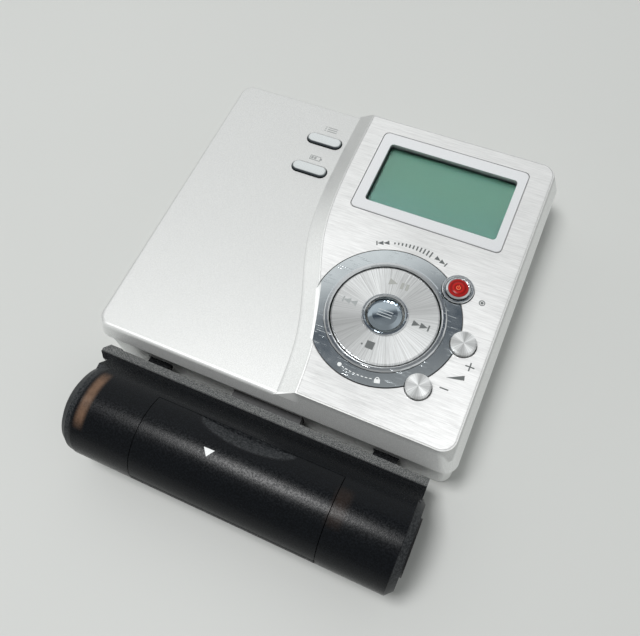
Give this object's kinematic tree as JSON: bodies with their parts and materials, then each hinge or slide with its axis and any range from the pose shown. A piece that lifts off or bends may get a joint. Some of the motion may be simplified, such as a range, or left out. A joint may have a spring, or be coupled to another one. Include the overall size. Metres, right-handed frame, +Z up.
{
  "type": "portable disc player",
  "caption": "Pocket player for small disc cartridges, with a hinged lid, tilting key dial, display and clip-on cell case.",
  "frame": {"origin": "middle of the player's flat underside, where it rests on a table", "axes": "+X to the right across the front, +Y towards the lid hinge at the back, +Z up"},
  "size_m": [0.079, 0.0957, 0.0194],
  "materials": {
    "battery_wrap": "shrink film",
    "black_plastic": "fine spark texture",
    "brushed_plate": "brushed along X, clear anodised",
    "cast_sled": "die cast",
    "chrome": "polished",
    "circuit_board": "solder mask",
    "copper": "bare sheet copper",
    "damper_rubber": "soft, matt",
    "gold_contact": "gold plated",
    "lcd_glass": "grey-green display",
    "lcd_window": "clear, glossy",
    "lens": "coated",
    "red_key": "glossy, translucent",
    "satin_frame": "satin silver paint",
    "silver_paint": "fine metallic satin",
    "smoke_plastic": "satin gloss, faintly see-through",
    "spring_steel": "bright rolled sheet",
    "spun_key": "spun, satin",
    "steel": "ground and polished",
    "white_plastic": "satin"
  },
  "bodies": {
    "player": {"base_case": "silver_paint", "hinge_pins": "steel", "base_screws": "steel", "battery_pack": "battery_wrap", "battery_contacts": "gold_contact", "main_board": "circuit_board", "board_chips": "black_plastic", "headphone_jack": "black_plastic", "line_in_jack": "white_plastic", "power_jack": "black_plastic", "case_socket": "black_plastic", "chassis_plate": "spring_steel", "chassis_dampers": "damper_rubber", "chassis_screws": "steel", "spindle_motor": "steel", "guide_rods": "steel", "sled_motor": "steel"},
    "lid": {"lid_shell": "silver_paint", "face_plate": "brushed_plate", "lcd_frame": "satin_frame", "lcd_window": "lcd_window", "lcd_panel": "lcd_glass", "key_ring_plate": "chrome", "dial_lip": "chrome", "rec_bezel": "chrome", "key_board": "circuit_board", "board_screws": "steel", "key_domes": "spring_steel", "pill_board": "circuit_board", "disc_holder": "spring_steel"},
    "dial_rocker": {"dial_spider": "white_plastic"},
    "dial": {"dial_key": "spun_key", "dial_hub_ring": "chrome"},
    "centre_key": {"centre_button": "chrome"},
    "rec_key": {"rec_button": "red_key"},
    "volume_up_key": {"volume_up_button": "spun_key"},
    "volume_down_key": {"volume_down_button": "spun_key"},
    "rear_pill_key": {"rear_pill_button": "chrome"},
    "front_pill_key": {"front_pill_button": "chrome"},
    "turntable": {"turntable": "black_plastic"},
    "pickup": {"pickup_sled": "cast_sled", "pickup_lens": "lens"},
    "lead_screw": {"lead_screw": "steel"},
    "latch_slider": {"open_slider": "silver_paint"},
    "battery_cover": {"battery_cover": "silver_paint"},
    "cell_case": {"case_lower_shell": "smoke_plastic", "case_upper_cover": "smoke_plastic", "door_pin": "steel", "case_plug": "black_plastic", "plug_contacts": "gold_contact", "negative_contact": "spring_steel", "positive_contact": "spring_steel", "contact_strap": "copper", "end_disc": "black_plastic"},
    "cell_door": {"case_door": "smoke_plastic"}
  },
  "joints": [
    {"name": "lid_hinge", "type": "hinge", "parent": "player", "child": "lid", "pos_m": [0, 0.0334, 0.0042], "axis": [-1, 0, 0], "range_deg": [0, 55]},
    {"name": "dial_tilt_up_down", "type": "hinge", "parent": "lid", "child": "dial_rocker", "pos_m": [0.01661, -0.01301, 0.0159], "axis": [1, 0, 0], "range_deg": [-2, 2], "stiffness_Nm_per_rad": 0.1},
    {"name": "dial_tilt_left_right", "type": "hinge", "parent": "dial_rocker", "child": "dial", "pos_m": [0.01661, -0.01301, 0.0162], "axis": [0, 1, 0], "range_deg": [-2, 2], "stiffness_Nm_per_rad": 0.1},
    {"name": "centre_press", "type": "slide", "parent": "lid", "child": "centre_key", "axis": [0, 0, -1], "range_m": [0, 0.0004], "stiffness_N_per_m": 600},
    {"name": "rec_press", "type": "slide", "parent": "lid", "child": "rec_key", "axis": [0, 0, -1], "range_m": [0, 0.0004], "stiffness_N_per_m": 600},
    {"name": "volume_up_press", "type": "slide", "parent": "lid", "child": "volume_up_key", "axis": [0, 0, -1], "range_m": [0, 0.0004], "stiffness_N_per_m": 600},
    {"name": "volume_down_press", "type": "slide", "parent": "lid", "child": "volume_down_key", "axis": [0, 0, -1], "range_m": [0, 0.0004], "stiffness_N_per_m": 600},
    {"name": "rear_pill_press", "type": "slide", "parent": "lid", "child": "rear_pill_key", "axis": [0, 0, -1], "range_m": [0, 0.0003], "stiffness_N_per_m": 600},
    {"name": "front_pill_press", "type": "slide", "parent": "lid", "child": "front_pill_key", "axis": [0, 0, -1], "range_m": [0, 0.0003], "stiffness_N_per_m": 600},
    {"name": "turntable_spin", "type": "hinge", "parent": "player", "child": "turntable", "pos_m": [0, -0.0002, 0.0065], "axis": [0, 0, 1], "continuous": true},
    {"name": "pickup_travel", "type": "slide", "parent": "player", "child": "pickup", "axis": [1, 0, 0], "range_m": [0, 0.0146]},
    {"name": "lead_screw_turn", "type": "hinge", "parent": "player", "child": "lead_screw", "pos_m": [0.02, -0.0148, 0.0049], "axis": [1, 0, 0], "range_deg": [0, 3506]},
    {"name": "latch_slide", "type": "slide", "parent": "player", "child": "latch_slider", "axis": [0, 1, 0], "range_m": [0, 0.003], "stiffness_N_per_m": 120},
    {"name": "battery_cover_slide", "type": "slide", "parent": "player", "child": "battery_cover", "axis": [-1, 0, 0], "range_m": [0, 0.028]},
    {"name": "cell_case_pull_off", "type": "slide", "parent": "player", "child": "cell_case", "axis": [0, -1, 0], "range_m": [0, 0.025]},
    {"name": "cell_door_hinge", "type": "hinge", "parent": "cell_case", "child": "cell_door", "pos_m": [0, -0.05885, 0.0109], "axis": [1, 0, 0], "range_deg": [0, 100]}
  ],
  "couplings": [
    {"joint": "lead_screw_turn", "follows": "pickup_travel", "rad_per_m": 4188.8}
  ]
}
